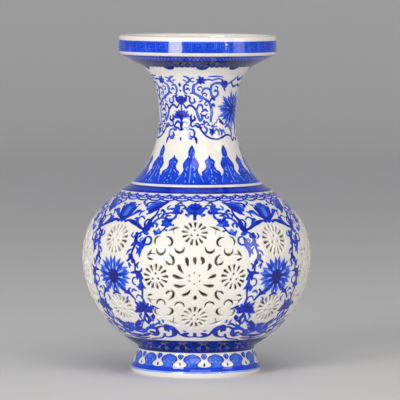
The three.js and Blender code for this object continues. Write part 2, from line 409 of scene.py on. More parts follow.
def pierced_shell(canvas, thickness, split_z, names, material):
    """The pierced belly: the outer surface with its holes, their walls and the inner surface.

    It is built whole, so that the painting and the light run on across the joint, then parted there."""
    rows, cols = canvas.hole.shape
    solid = -canvas.hole
    line = np.column_stack([canvas.r, canvas.z])
    normal = outward(line)
    theta = canvas.azimuth()[0]

    def place(row, col, depth):
        """Points at fractional rows and columns, a depth below the outer surface."""
        index = np.arange(rows)
        r = np.interp(row, index, canvas.r) - np.interp(row, index, normal[:, 0]) * depth
        z = np.interp(row, index, canvas.z) - np.interp(row, index, normal[:, 1]) * depth
        angle = col * canvas.step
        return np.column_stack([r * np.sin(angle), -r * np.cos(angle), z]) * MM

    def rounding(d):
        inset = np.clip(EDGE_ROUNDING - d, 0, EDGE_ROUNDING)
        return EDGE_ROUNDING - np.sqrt(EDGE_ROUNDING ** 2 - inset ** 2)

    def crossing(a, b):
        return np.clip(a / np.where(a == b, 1, a - b), 0.1, 0.9)

    row_grid, col_grid = np.meshgrid(np.arange(rows), np.arange(cols), indexing="ij")
    right = np.roll(solid, -1, axis=1)
    down = np.vstack([solid[1:], solid[-1:]])
    across = crossing(solid, right)
    along = crossing(solid, down)
    count = rows * cols
    depth = rounding(solid).ravel()
    flat = (row_grid.ravel().astype(float), col_grid.ravel().astype(float))
    edge_depth = np.full(count, EDGE_ROUNDING)
    sets = [
        (flat[0], flat[1], depth),
        (flat[0], flat[1] + across.ravel(), edge_depth),
        (flat[0] + along.ravel(), flat[1], edge_depth),
    ]
    outer = np.vstack([place(*s) for s in sets])
    back = np.vstack([place(r, c, thickness - d * 0.5) for r, c, d in sets])
    points = np.vstack([outer, back])
    inner_start = 3 * count

    below, beside = row_grid[:-1] + 1, (col_grid[:-1] + 1) % cols
    corners = [row_grid[:-1] * cols + col_grid[:-1], row_grid[:-1] * cols + beside,
               below * cols + beside, below * cols + col_grid[:-1]]
    edges = [corners[0] + count, corners[1] + 2 * count, corners[3] + count, corners[0] + 2 * count]
    is_solid = [solid.ravel()[c] > 0 for c in corners]
    code = sum(flag.astype(int) << k for k, flag in enumerate(is_solid))

    # Far from every hole the inner surface is never seen, so it is made of larger quads there.
    coarse = 6  # rows and columns in a larger quad
    near = solid < 4.0  # within 4 mm of a hole
    whole = (rows - 1) // coarse * coarse
    blocks = near[:whole].reshape(whole // coarse, coarse, cols // coarse, coarse).any(axis=(1, 3))
    plain = np.zeros((rows - 1, cols), bool)
    plain[:whole] = ~np.repeat(np.repeat(blocks, coarse, 0), coarse, 1)

    outer_faces, inner_faces = {}, {}
    for case in range(1, 16):
        where = code == case
        if not where.any():
            continue
        on = [bool(case >> k & 1) for k in range(4)]
        outline, cuts = [], []
        for k in range(4):
            if on[k]:
                outline.append(corners[k])
            if on[k] != on[(k + 1) % 4]:
                outline.append(edges[k])
                cuts.append((k, on[k]))
        polygon = np.column_stack([o[where] for o in outline])
        outer_faces.setdefault(polygon.shape[1], []).append(polygon[:, ::-1])
        kept = where & ~plain
        polygon = np.column_stack([o[kept] for o in outline]) + inner_start
        inner_faces.setdefault(polygon.shape[1], []).append(polygon)
        leaving = [k for k, was_on in cuts if was_on]
        for k in leaving:
            later = [(k + n) % 4 for n in range(1, 4)]
            entering = next(m for m in later if m in [c for c, was_on in cuts if not was_on])
            a, b = edges[k][where], edges[entering][where]
            wall = np.column_stack([a, b, b + inner_start, a + inner_start])
            outer_faces.setdefault(4, []).append(wall)
    i, j = np.nonzero(~blocks)
    i, j = i * coarse, j * coarse
    i2, j2 = i + coarse, (j + coarse) % cols
    large = np.column_stack([i * cols + j, i * cols + j2, i2 * cols + j2, i2 * cols + j]) + inner_start
    inner_faces.setdefault(4, []).append(large)
    ends = []
    for row, flip in ((0, False), (rows - 1, True)):
        j = np.arange(cols)
        a, b = row * cols + j, row * cols + (j + 1) % cols
        rim = np.column_stack([a, b, b + inner_start, a + inner_start])
        ends.append(rim[:, ::-1] if flip else rim)
    outer_faces.setdefault(4, []).extend(ends)

    faces = {}
    for group in (outer_faces, inner_faces):
        for size, parts in group.items():
            faces.setdefault(size, []).extend(parts)
    faces = {size: np.vstack(parts) for size, parts in faces.items()}
    used = np.unique(np.concatenate([f.ravel() for f in faces.values()]))
    renumber = np.full(len(points), -1)
    renumber[used] = np.arange(len(used))
    points = points[used]
    faces = {size: renumber[f] for size, f in faces.items()}
    values = {}
    for key, grid, blank in (("ink", canvas.ink, BLANK), ("tone", canvas.tone, 0.0)):
        every = np.concatenate([np.tile(grid.ravel(), 3), np.full(3 * count, blank)])
        values[key] = every[used]

    whole_obj = make_mesh("whole_belly", points, list(faces.values()), {}, material)
    normals = np.zeros(len(points) * 3, np.float32)
    whole_obj.data.vertex_normals.foreach_get("vector", normals)
    normals = normals.reshape(-1, 3)
    bpy.data.objects.remove(whole_obj)

    made = []
    for name, is_upper in zip(names, (True, False)):
        part = []
        for f in faces.values():
            height = points[f][:, :, 2].mean(axis=1) / MM
            part.append(f[(height > split_z) == is_upper])
        keep = np.unique(np.concatenate([f.ravel() for f in part]))
        index = np.full(len(points), -1)
        index[keep] = np.arange(len(keep))
        made.append(make_mesh(
            name, points[keep], [index[f] for f in part if len(f)],
            {key: v[keep] for key, v in values.items()}, material, normals[keep]))
    return made


# ------------------------------------------------------------------------------------------- materials

def node(tree, kind, place, **settings):
    made = tree.nodes.new(kind)
    made.location = place
    for key, value in settings.items():
        setattr(made, key, value)
    return made


# Colour of the glaze by the strength of the cobalt under it.
COBALT = (
    (0.0, (0.42, 0.53, 0.90)),
    (0.3, (0.075, 0.19, 0.80)),
    (0.55, (0.006, 0.06, 0.66)),
    (0.78, (0.002, 0.018, 0.40)),
    (1.0, (0.0012, 0.004, 0.10)),
)


def porcelain(name, painted=True, white=(0.83, 0.815, 0.78), warm=(0.80, 0.75, 0.66), roughness=0.06):
    """Glazed white porcelain, with the cobalt under the glaze where the mesh stores it."""
    material = bpy.data.materials.new(name)
    material.use_nodes = True
    tree = material.node_tree
    tree.nodes.clear()
    link = tree.links.new
    out = node(tree, "ShaderNodeOutputMaterial", (1100, 0))
    shader = node(tree, "ShaderNodeBsdfPrincipled", (800, 0))
    link(shader.outputs["BSDF"], out.inputs["Surface"])
    coords = node(tree, "ShaderNodeTexCoord", (-1200, 0))

    def noise(scale, detail, place):
        made = node(tree, "ShaderNodeTexNoise", place)
        made.inputs["Scale"].default_value = scale
        made.inputs["Detail"].default_value = detail
        link(coords.outputs["Object"], made.inputs["Vector"])
        return made.outputs["Fac"]

    def math_node(operation, a, b, place, clamp=False):
        made = node(tree, "ShaderNodeMath", place, operation=operation, use_clamp=clamp)
        for socket, value in zip(made.inputs, (a, b)):
            if isinstance(value, (int, float)):
                socket.default_value = value
            else:
                link(value, socket)
        return made.outputs[0]

    def mix(factor, a, b, place):
        made = node(tree, "ShaderNodeMix", place, data_type="RGBA")
        link(factor, made.inputs["Factor"])
        for socket, value in ((made.inputs["A"], a), (made.inputs["B"], b)):
            if isinstance(value, tuple):
                socket.default_value = (*value, 1)
            else:
                link(value, socket)
        return made.outputs["Result"]

    def ramp(factor, stops, place):
        made = node(tree, "ShaderNodeValToRGB", place)
        elements = made.color_ramp.elements
        for i, (at, colour) in enumerate(stops):
            element = elements[i] if i < 2 else elements.new(at)
            element.position = at
            element.color = (*colour, 1)
        link(factor, made.inputs["Fac"])
        return made.outputs["Color"]

    body = mix(noise(22, 3, (-900, 300)), white, warm, (-600, 300))
    if painted:
        ink = node(tree, "ShaderNodeAttribute", (-900, -100), attribute_name="ink").outputs["Fac"]
        tone = node(tree, "ShaderNodeAttribute", (-900, -300), attribute_name="tone").outputs["Fac"]
        edge = math_node("MULTIPLY", math_node("SUBTRACT", noise(900, 2, (-900, -500)), 0.5, (-700, -500)),
                         0.35, (-550, -500))
        inside = math_node("ADD", ink, edge, (-400, -150))
        mask = node(tree, "ShaderNodeMapRange", (-200, -150), interpolation_type="SMOOTHSTEP")
        link(inside, mask.inputs["Value"])
        mask.inputs["From Min"].default_value = -0.32
        mask.inputs["From Max"].default_value = 0.22
        pooling = math_node("MULTIPLY", math_node("SUBTRACT", noise(130, 4, (-900, -700)), 0.5,
                                                  (-700, -700)), 0.42, (-550, -700))
        strength = math_node("ADD", tone, pooling, (-400, -400), clamp=True)
        cobalt = ramp(strength, COBALT, (-200, -400))
        halo = node(tree, "ShaderNodeMapRange", (-200, 100), interpolation_type="SMOOTHSTEP")
        link(ink, halo.inputs["Value"])
        halo.inputs["From Min"].default_value = -2.2
        halo.inputs["From Max"].default_value = 0.0
        halo.inputs["To Max"].default_value = 0.2
        tinted = mix(halo.outputs["Result"], body, (0.42, 0.55, 0.86), (50, 200))
        body = mix(mask.outputs["Result"], tinted, cobalt, (300, 100))
    link(body, shader.inputs["Base Color"])
    shader.inputs["Roughness"].default_value = roughness
    shader.inputs["IOR"].default_value = 1.5

    bump = node(tree, "ShaderNodeBump", (500, -300))
    ripple = math_node("ADD", noise(45, 2, (100, -500)),
                       math_node("MULTIPLY", noise(320, 2, (100, -700)), 0.25, (300, -700)), (400, -500))
    link(ripple, bump.inputs["Height"])
    bump.inputs["Strength"].default_value = 0.25
    bump.inputs["Distance"].default_value = 0.0006
    link(bump.outputs["Normal"], shader.inputs["Normal"])
    return material


# ------------------------------------------------------------------------------------------------ belly

belly = Canvas(belly_outline(COLLAR_JOINT, FOOT_JOINT), 0.58, 1080)
MEDALLION_UP = belly.down(88.0)  # the medallion's middle
BELLY_TURN = -0.9  # degrees the pattern is turned from the front
WEDGES = mirrored(BELLY_TURN, 4)
FRONT = spaced(BELLY_TURN, 4)
CORNERS = spaced(BELLY_TURN + 45, 4)
CORNER = math.radians(45) * BELLY_R  # half a repeat, at the equator's scale


def pierce_flower(pen, x, y, petals, inner, outer, width, hub, hub_size, start=0.0):
    """A pierced chrysanthemum: petal slots and the small holes of its eye."""
    for angle in np.arange(petals) * 360 / petals + start:
        a = math.radians(angle)
        c, s = math.cos(a), math.sin(a)
        pen.cut([(x + inner * c, y + inner * s), (x + outer * c, y + outer * s)],
                [width * 0.35, width * 0.8, width])
    for angle in (90, 210, 330):
        a = math.radians(angle)
        spot = (x + hub * math.cos(a), y + hub * math.sin(a))
        pen.cut([spot, (spot[0], spot[1] - 0.5)], [hub_size, hub_size])


def pierce_medallion():
    up = MEDALLION_UP + 2.4  # the middle flower sits a little low on the belly
    pen = Pen(belly, None, up, FRONT, wobble=0.1)
    # Twelve teardrops of the middle flower, each from its fat outer end to its thin foot.
    teardrops = [
        ((0.1, 16.2), (0.3, 14.0), (0.6, 11.6)), ((-6.4, 15.8), (-5.9, 13.0), (-5.2, 10.0)),
        ((-12.7, 10.0), (-11.7, 7.2), (-9.3, 4.4)), ((-16.8, 1.8), (-13.6, 0.4), (-9.4, -0.2)),
        ((-15.6, -6.6), (-12.0, -7.4), (-7.8, -6.2)), ((-9.0, -14.8), (-6.0, -13.6), (-3.6, -10.4)),
        ((0.6, -18.0), (0.6, -16.4), (0.6, -15.0)), ((9.6, -14.8), (6.6, -13.4), (3.8, -10.4)),
        ((14.8, -6.6), (11.8, -6.6), (7.8, -5.6)), ((16.8, 2.2), (14.6, 1.2), (11.6, 0.0)),
        ((12.6, 11.0), (12.6, 9.0), (10.8, 6.6)), ((6.0, 16.6), (7.2, 14.2), (5.9, 11.8)),
    ]
    for points in teardrops:
        pen.cut(points, [2.6, 3.1, 2.1, 0.9])
    for angle in range(30, 390, 60):
        a = math.radians(angle)
        spot = (4.9 * math.cos(a), 4.6 * math.sin(a))
        pen.cut([spot, (spot[0], spot[1] - 0.3)], [1.1, 1.1])
    for x, y in ((32.6, 0.6), (-32.6, 0.6), (0, 37.7), (0, -36.1)):
        pierce_flower(pen, x, y, 13, 5.6, 9.6, 2.3, 2.9, 1.6, start=4)
    # A scroll of crescents in each diagonal, mirrored from one drawing.
    scroll = [
        ([(24.4, 24.2), (25.2, 20.8), (28.2, 19.2), (31.2, 20.8), (31.8, 24.0)], 1.9),
        ([(24.4, 34.4), (20.8, 33.8), (18.4, 30.8), (19.2, 27.6), (22.0, 26.4)], 1.9),
        ([(28.6, 34.8), (31.8, 33.4), (33.4, 30.4), (32.8, 27.4)], 1.9),
        ([(21.4, 19.8), (18.0, 16.6), (17.4, 12.8), (19.0, 10.2)], 2.1),
        ([(19.0, 11.4), (22.0, 11.8), (24.0, 14.2)], 1.7),
        ([(8.6, 25.8), (9.4, 22.8), (12.2, 21.2), (15.2, 22.2), (16.4, 24.4)], 1.9),
        ([(12.6, 43.4), (17.2, 42.0), (21.8, 39.6)], 2.3),
        ([(17.6, 41.0), (17.0, 36.8)], 2.0),
        ([(33.0, 19.6), (37.2, 19.6)], 1.7),
        ([(36.2, 23.0), (38.2, 19.8), (40.2, 17.8)], 2.0),
        ([(35.2, 15.0), (37.8, 15.2), (40.0, 16.6)], 1.7),
    ]
    for flip_x in (1, -1):
        for flip_y in (1, -1):
            for points, width in scroll:
                pen.cut([(flip_x * x, flip_y * y) for x, y in points], [0.5, width, width, 0.5])


def pierce_small_flowers():
    pen = Pen(belly, None, MEDALLION_UP, CORNERS, wobble=0.1)
    pierce_flower(pen, 0, 28.4, 16, 7.0, 11.6, 2.4, 3.4, 1.9, start=11.25)
    pierce_flower(pen, 0, -31.0, 16, 6.6, 11.0, 2.3, 3.2, 1.8, start=11.25)


def paint_belly():
    pen = Pen(belly, BELLY_R, MEDALLION_UP, WEDGES, boldness=1.14)
    deep, mid, light = 0.8, 0.6, 0.34
    # Lotus over each large medallion, on the mirror line.
    pen.bloom(0, 55.5, 7, 0.5, 9.5, 4.2, mid, start=15, spread=175)
    pen.stroke([(0, 53), (3, 57), (5.4, 62)], [3, 4.5, 1], deep)
    pen.stroke([(0, 54), (0.2, 64.5)], [3.4, 4.2, 1.2], deep)
    pen.stroke([(0, 53.2), (5, 55.4), (9.6, 58.8), (12.6, 58.2)], [3, 4, 2.4, 1.2], mid)
    pen.stroke([(0, 54), (0, 47.2)], [2.2, 1.8], deep)
    pen.stroke([(0.4, 52.4), (4, 53), (7.8, 51.8), (9.4, 52.6)], [1, 1.6, 2.6, 0.8], deep)
    pen.stroke([(6.6, 52), (6.6, 49.6)], [2, 0.9], light)
    # Tendril and scroll beside the lotus.
    pen.stroke([(9.8, 59.8), (12.2, 61.6), (16, 61.4), (18.6, 59.6)], [0.9, 1.4, 1.4, 1.2], deep)
    pen.stroke([(18.6, 63.2), (17.2, 59.6), (17.6, 55.8), (20.6, 53.8)], [1, 2.6, 2.6, 1.6], mid)
    pen.stroke([(20.6, 61.6), (19.4, 58.6), (21.4, 55.2)], [1.8, 2.4, 1.8], mid)
    pen.stroke([(15.2, 53.6), (18, 54.2)], [2.6, 2.2], deep)
    pen.stroke([(21.6, 58.8), (23.4, 57.6), (25.2, 58.6)], [1.2, 2.4, 1], mid)
    pen.stroke([(17.8, 53.6), (18.4, 49.4), (21.2, 47.2), (24.2, 47.4)], [1.4, 2.2, 1.8, 1.2], mid)
    pen.stroke([(19.4, 53.2), (24.4, 53.6), (29, 52.6), (30.8, 54.6), (33.2, 56.2), (34.2, 54.6)],
               [1.6, 1.5, 1.6, 1.6, 2.2, 1], deep)
    pen.stroke([(30.6, 54.4), (31.4, 51), (33, 48.4)], [1.6, 2.2, 1.4], mid)
    # Four-petalled leaf under the scroll.
    for angle, length in ((70, 6.2), (150, 5.4), (-25, 5.6), (-100, 3.6), (20, 5.6), (205, 5)):
        pen.leaf(25.6, 43.6, angle, length, 4.2, mid if angle in (20, 205) else deep)
    pen.stroke([(20, 42.6), (19.6, 41), (21.2, 40)], [1, 2, 1], deep)
    pen.stroke([(27.6, 48.4), (32.4, 48.6), (36.4, 46.6), (38.6, 43.6), (38.4, 40.4)],
               [1.2, 1.6, 1.8, 2.2, 2], mid)
    pen.stroke([(26, 39.8), (28.6, 36.4), (31.6, 33.6)], [1.4, 1.2, 2], deep)
    pen.stroke([(32.4, 37.2), (33.4, 34.2), (34.4, 30.6)], [2.6, 3.6, 1.4], light)
    pen.stroke([(31.6, 34), (34, 33.6), (36.6, 36.4)], [1.6, 2.6, 1.6], mid)
    pen.stroke([(13.4, 63.6), (16.2, 64.8), (19.4, 63.4)], [0.9, 1.9, 1.1], mid)
    pen.stroke([(24.6, 57.6), (27.4, 57.2), (28.6, 59.4), (26.6, 61.2)], [1, 1.6, 1.5, 1.1], mid, core=0.2)
    pen.stroke([(14.6, 56.8), (13.2, 55), (14.4, 52.8)], [1, 1.8, 1.1], deep)
    pen.stroke([(23.6, 50.6), (27, 50.8), (28.8, 48.8)], [1.2, 2, 1.1], mid)
    pen.stroke([(33.6, 52.8), (36.2, 51.2), (35.6, 48.8)], [1, 1.9, 1], mid)
    pen.stroke([(22.4, 38.6), (24.6, 36.8), (27.6, 37.4)], [1, 1.6, 1], mid)
    pen.stroke([(36.6, 43.4), (34.4, 42), (34.6, 39.6)], [1.2, 1.9, 1], mid)
    pen.stroke([(48.6, 46.6), (51.6, 48.8), (55, 47.8), (55.4, 45.2)], [1, 1.6, 1.6, 1], deep, core=0.25)
    pen.stroke([(57, 49.6), (56, 53), (53, 54.6)], [1, 1.8, 1], mid)
    pen.stroke([(56.4, 61.4), (59.4, 64.4), (57.4, 66.2)], [1.2, 2, 1], mid)
    # Wedge-shaped blossom leaning away from the scroll.
    pen.stroke([(30, 65), (38, 61.4), (46.4, 54.6)], [1.4, 5.2, 3.2], deep)
    pen.stroke([(33.2, 64.4), (42, 62.4), (49.6, 57)], [1.6, 5, 3.4], mid)
    pen.stroke([(36, 59.6), (41.4, 57.4), (45.6, 53.2)], [1.8, 4.6, 2.6], deep)
    pen.stroke([(40, 65.6), (46, 63.4), (51.4, 58.2)], [1.4, 3, 1.6], light)
    pen.stroke([(45, 63.9), (50.4, 64.1), (53.8, 62.4), (53.6, 60.2)], [1, 1.4, 1.8, 2.4], deep)
    pen.stroke([(46.4, 53), (48.6, 51.4)], [2.2, 1.2], mid)
    # Vine from the blossom down to the arch.
    pen.stroke([(37.4, 56.6), (38.6, 51.4), (41.8, 46.4), (43.2, 42.6), (42, 39.4)],
               [1.4, 1.7, 2.6, 3.4, 2.2], deep)
    pen.stroke([(42.4, 46.6), (45.4, 46.4), (47.4, 43.8), (46.6, 41.2)], [1.2, 1.6, 1.5, 2], deep)
    pen.stroke([(41.4, 43), (42.2, 38.8), (44.6, 35.6)], [2.8, 3, 2.8], deep)
    pen.stroke([(45.4, 39.6), (46.2, 37.4), (44.2, 34.6)], [2.8, 3, 2.4], deep)
    pen.stroke([(41.6, 33.4), (44, 34.2), (46.6, 35.8)], [2, 3.4, 1.8], mid)
    pen.stroke([(44.6, 36.6), (50, 38.4), (55.4, 41.6), (61, 43.6), (66.6, 45), (70.6, 43.8)],
               [1.6, 2.2, 3.4, 3.6, 2, 2], deep)
    pen.stroke([(54.6, 42.4), (57.6, 46.6), (60.2, 46.4)], [2, 2.6, 1], mid)
    pen.stroke([(46, 35.6), (50.4, 33.4), (53.4, 31)], [1.4, 1.4, 2.4], deep)
    # Lotus at the top of each corner column.
    pen.bloom(CORNER, 47, 7, 3, 16.5, 5, mid, start=50, spread=95)
    pen.stroke([(CORNER, 45), (CORNER - 3.6, 50), (CORNER - 8.4, 57)], [4, 6.4, 2.6], deep)
    pen.stroke([(CORNER, 45), (CORNER - 1.4, 52), (CORNER - 2.6, 62)], [4, 5, 2.4], mid)
    pen.stroke([(CORNER, 49), (CORNER, 56)], [3, 4], light)
    pen.stroke([(CORNER - 1, 46.6), (CORNER - 8, 49.2), (CORNER - 12.6, 52)], [3, 2, 2.4], deep)
    pen.stroke([(CORNER - 8.6, 49.4), (CORNER - 14.4, 54), (CORNER - 18.4, 54.4)], [1.6, 3.8, 1.2], mid)
    pen.stroke([(CORNER - 10, 61), (CORNER - 13, 61.8)], [1.6, 1], mid)
    # Scrolls beside the medallion's upper half.
    pen.curve(arc(40.8, 28.2, 3.4, 300, 60), [1.3, 1.9, 1.8, 1.1], mid)
    pen.stroke([(42.2, 24.9), (45.4, 22.6), (47.2, 19), (46.8, 14.4)], [1.4, 3.4, 3.4, 1], mid)
    pen.stroke([(42.8, 30.6), (44, 27.6), (45.2, 24)], [1.2, 3, 2.6], deep)
    pen.stroke([(45.6, 30), (47.8, 28.4), (46.8, 26.6)], [1, 1.8, 1.4], light)
    pen.stroke([(46, 23.8), (49, 24.6), (51.6, 26.6)], [3, 3, 2.4], mid)
    # Vine that edges the small flowers, with its leaves.
    pen.stroke([(52.6, 33.6), (52.2, 27), (53.2, 21.4), (54.6, 17), (53.6, 13)],
               [2.6, 3.4, 2, 1.8, 1.6], deep)
    pen.stroke([(53, 25), (55.6, 23.4)], [2.4, 1.4], mid)
    pen.stroke([(56.4, 15.4), (56.2, 12.4), (58.6, 10.2)], [2.2, 2.2, 1.4], deep)
    pen.stroke([(54.6, 13.6), (52.8, 11), (53.6, 9.4)], [1.6, 3.4, 1.6], deep)
    pen.stroke([(51.8, 10.6), (51, 5.6), (51.4, 1.4)], [2.2, 1.6, 1.5], deep)
    pen.stroke([(50.6, 29.8), (48.6, 31.8), (49.6, 34)], [1.1, 1.8, 1], mid)
    pen.stroke([(55, 29.4), (57.4, 31.4), (56.4, 34)], [1, 1.6, 1], mid)
    pen.stroke([(50.6, 22), (48.8, 19.4), (50, 17)], [1, 1.8, 1], mid)
    pen.stroke([(55.4, 20), (58, 18.4), (59.6, 15.6)], [1.2, 1.9, 0.9], mid)
    pen.stroke([(47.6, 9.6), (49.4, 7.6), (48.4, 5)], [0.9, 1.7, 1], deep)
    pen.stroke([(54.6, 6.6), (57, 8.4), (56.2, 5)], [1, 1.8, 1.1], mid)
    # Heart-shaped leaves between the medallion and the chrysanthemum.
    pen.stroke([(44.6, 4.4), (46.2, 2.2), (50.8, 1.4), (54.8, 1)], [1.2, 1.8, 2.2, 1.3], deep)
    pen.stroke([(49.4, 1.4), (46.8, -1.2), (44.4, -3.4)], [3, 4.4, 1.8], deep)
    pen.stroke([(48.6, -0.4), (49.2, -3.8)], [3.4, 1.6], deep)
    pen.stroke([(46.4, -3), (45.8, -8), (42.6, -11.6)], [2.2, 3, 1.4], mid)
    pen.stroke([(45.8, -7.4), (48.4, -10.8), (48.2, -13)], [2.8, 3.4, 1.4], mid)
    pen.stroke([(45.6, -11), (46, -16), (47.2, -21)], [2.4, 1.5, 1.6], deep)
    pen.curve(arc(51, -6.2, 3.2, 105, -85), [1, 1.4, 1.5, 1.1], mid)
    pen.stroke([(47.2, -9.6), (50.4, -10.4)], [1.6, 1.2], mid)
    # Chrysanthemum in the middle of each corner column.
    pen.bloom(CORNER, -1.5, 20, 3, 18.6, 4.1, light, start=10, squash=0.86, uneven=0.2)
    pen.bloom(CORNER, -1.5, 18, 3, 16.8, 2.9, mid, start=3, squash=0.9, uneven=0.26)
    pen.bloom(CORNER, -2.5, 16, 1, 13.4, 2.2, deep, start=6, squash=0.94, uneven=0.3)
    pen.bloom(CORNER, -2.5, 11, 5.6, 13.0, 0.95, 0.04, start=22, squash=0.94, uneven=0.22)
    pen.bloom(CORNER, -3, 8, 0, 6.5, 3.4, 0.93, start=12)
    pen.stroke([(CORNER - 8.6, 3.4), (CORNER - 5.4, 0.4)], [0.5, 1.1, 0.4], 0.08)
    pen.stroke([(CORNER - 10.4, -2.8), (CORNER - 5.6, -4)], [0.5, 1.1, 0.4], 0.08)
    pen.stroke([(CORNER - 6.6, -8.4), (CORNER - 3.6, -6)], [0.5, 1.1, 0.4], 0.08)
    pen.stroke([(CORNER - 3.4, 7.6), (CORNER - 2.2, 3.8)], [0.5, 1, 0.4], 0.08)
    # Stem from the chrysanthemum down to the side blossom.
    pen.stroke([(66, -12.6), (62.6, -15.6), (59.4, -16.8), (56.6, -19.6), (54.6, -22.2)],
               [2, 3.2, 2.2, 1.7, 1.6], deep)
    pen.stroke([(62.8, -15.2), (64.6, -17)], [2.4, 1.2], mid)
    pen.curve(arc(50.4, -20.6, 2.6, 0, 190), [1, 1.5, 1], mid)
    pen.stroke([(51.6, -14.6), (54.4, -13.4), (56.4, -15.6)], [1.1, 1.8, 1], mid)
    pen.stroke([(57.6, -12.2), (59.6, -14.2), (58.6, -16.6)], [1, 1.9, 1.2], deep)
    pen.stroke([(61.6, -19.6), (63.4, -22), (61.8, -24.2)], [1, 1.7, 0.9], mid)
    pen.stroke([(70, -18.4), (CORNER, -16.6)], [1.2, 2.2], deep)
    # Side blossom.
    pen.bloom(48, -32.6, 8, 1, 12.4, 3.8, mid, start=-6, spread=214, uneven=0.18)
    pen.bloom(48, -32.6, 7, 0.5, 8.4, 3.2, 0.9, start=6, spread=196)
    pen.stroke([(45, -30.4), (40, -29.6), (36.4, -30)], [3, 2.6, 1], deep)
    pen.stroke([(51, -30.4), (55, -32), (58, -34.6)], [3.4, 3, 1], deep)
    pen.stroke([(50.6, -27), (53, -24.6)], [0.5, 1, 0.4], 0.12)
    pen.stroke([(45.4, -27.2), (44, -24.6)], [0.5, 1, 0.4], 0.12)
    pen.stroke([(40.2, -26.6), (38, -27.4), (33.6, -29.6)], [1.2, 1.4, 1.2], deep)
    # Leaves under the side blossom.
    pen.stroke([(47, -32), (47.4, -36), (44.6, -39.8), (41.6, -42.6)], [1.4, 3, 3.2, 1], deep)
    pen.stroke([(38.2, -34.4), (41, -38.6), (45.2, -41.6), (48.6, -46)], [1.4, 3.4, 3.2, 1.2], deep)
    pen.stroke([(49.6, -37), (51, -41), (49.4, -45)], [1.4, 2.4, 1.6], mid)
    pen.stroke([(43.4, -40.4), (43.8, -38.6)], [1.8, 1.8], light)
    pen.stroke([(31.6, -41.4), (31.2, -43.6)], [1.8, 1.2], mid)
    pen.stroke([(38.4, -45.6), (35.6, -43.6), (37, -40.8)], [1, 1.7, 0.9], mid)
    pen.stroke([(52.4, -34.8), (55.4, -37.6), (54.6, -41)], [1.2, 2, 1], mid)
    pen.stroke([(33.6, -46), (38, -45.2), (42, -47.4)], [1, 1.8, 1.1], deep)
    # Scrolls above the foot.
    pen.stroke([(0, -59.6), (0, -56.4)], [2.6, 2.4], deep)
    pen.stroke([(0, -60.2), (5.4, -61), (10.4, -60), (14, -58.6), (17.4, -57.6)],
               [1.2, 1.2, 2.4, 2.8, 1], deep)
    pen.stroke([(8, -56.2), (11.2, -57.2), (13, -59.4)], [2, 3.4, 2], deep)
    pen.stroke([(9.6, -53.4), (11.4, -53.2)], [1.4, 1.6], light)
    pen.stroke([(16.4, -57.6), (19.6, -54.4), (24, -50.4), (29.4, -48.4)], [1.2, 3.4, 4.4, 4.6], deep)
    pen.stroke([(20.4, -50.2), (24, -49.6), (28.4, -46.6)], [1.4, 4, 1.6], mid)
    pen.stroke([(29.6, -49), (29, -53.6)], [4.6, 1.6], deep)
    pen.stroke([(31.2, -48.6), (32.2, -52.6)], [3, 1.8], deep)
    pen.stroke([(21.8, -53), (23, -57.4), (27, -60.4), (32.6, -61.2), (36.4, -60.4)],
               [3.8, 3.6, 1.7, 1.4, 1.4], deep)
    pen.stroke([(34.6, -57.8), (36, -60.2)], [2.2, 1.8], mid)
    pen.stroke([(30, -48), (36.4, -48.6), (41, -50.6), (45.6, -50.4), (47, -47)],
               [1.4, 1.6, 2.4, 3.8, 1.4], deep)
    pen.stroke([(43, -46), (46.4, -49.4), (52.6, -51.6), (58, -55.2)], [1.6, 3.6, 2.4, 1.8], mid)
    pen.stroke([(42, -51), (42.6, -56), (46.4, -59.6), (52, -59.4)], [2.4, 3.4, 2.6, 1.4], deep)
    pen.stroke([(47.6, -56.6), (50.2, -56)], [3.2, 2.6], deep)
    pen.stroke([(36.4, -60.6), (40.6, -63.2), (48, -64.4), (56, -65.4)], [1.4, 1.5, 1.5, 1.2], deep)
    # Peony leaves at the bottom of each corner column.
    pen.bloom(CORNER, -56, 9, 2, 11, 4, deep, start=10, spread=180)
    pen.bloom(CORNER, -56, 11, 3, 19, 4.4, mid, start=2, spread=200, squash=0.55)
    pen.stroke([(52.6, -42), (57.4, -45.4), (62, -50.4), (69, -54)], [1.6, 3.4, 3.6, 2.6], deep)
    pen.stroke([(58.6, -42.6), (62.4, -46.2), (68.4, -49)], [1.4, 3, 1.8], deep)
    pen.stroke([(54, -58), (62, -60.4), (CORNER, -61.6)], [2, 3, 3.4], deep)
    pen.stroke([(58, -63.4), (66, -64.6), (CORNER, -65)], [1.2, 1.8, 1.8], deep)
    for x, y, angle in ((62, -50, 150), (66, -55.6, 165), (70, -50.6, 120), (58, -47, 140), (68, -60, 175)):
        pen.leaf(x, y, angle, 5, 1.4, 0.08)


def paint_belly_top():
    """Band of crossing scallops with dots, just under the collar."""
    crossings = 36
    top = belly.down(151.4)
    deep = belly.down(146.0) - top
    phase = belly.azimuth() * crossings / (2 * math.pi)
    depth = (belly.s[:, None] - top) / deep
    # Two mirrored scallop lines, each drawn double, with a dot at each crossing and each low point.
    for flip in (0, 1):
        swing = np.abs(np.sin((phase / 2 + flip / 2) * math.pi))
        for high, drop, width, tone in ((0.04, 0.52, 0.7, 0.56), (0.2, 0.7, 0.85, 0.72)):
            belly.fill(width - np.abs(depth - high - drop * swing) * deep, tone)
    for shift, radius, level, size, tone in ((0, 62, 0.32, 1.1, 0.8), (0.5, 66, 0.86, 0.8, 0.66)):
        aside = ((phase + shift) % 1 - 0.5) * 2 * math.pi * radius / crossings
        belly.fill(size - np.hypot(aside, (depth - level) * deep), tone)


pierce_medallion()
pierce_small_flowers()
paint_belly()
paint_belly_top()
belly.ink = np.where(belly.hole > -0.6, -1.0, belly.ink)
GLAZE = porcelain("painted_porcelain")
belly_upper, belly_lower = pierced_shell(
    belly, WALL, BELLY_JOINT, ("belly_upper_pierced", "belly_lower_pierced"), GLAZE)


# ------------------------------------------------------------------------------------------------- neck

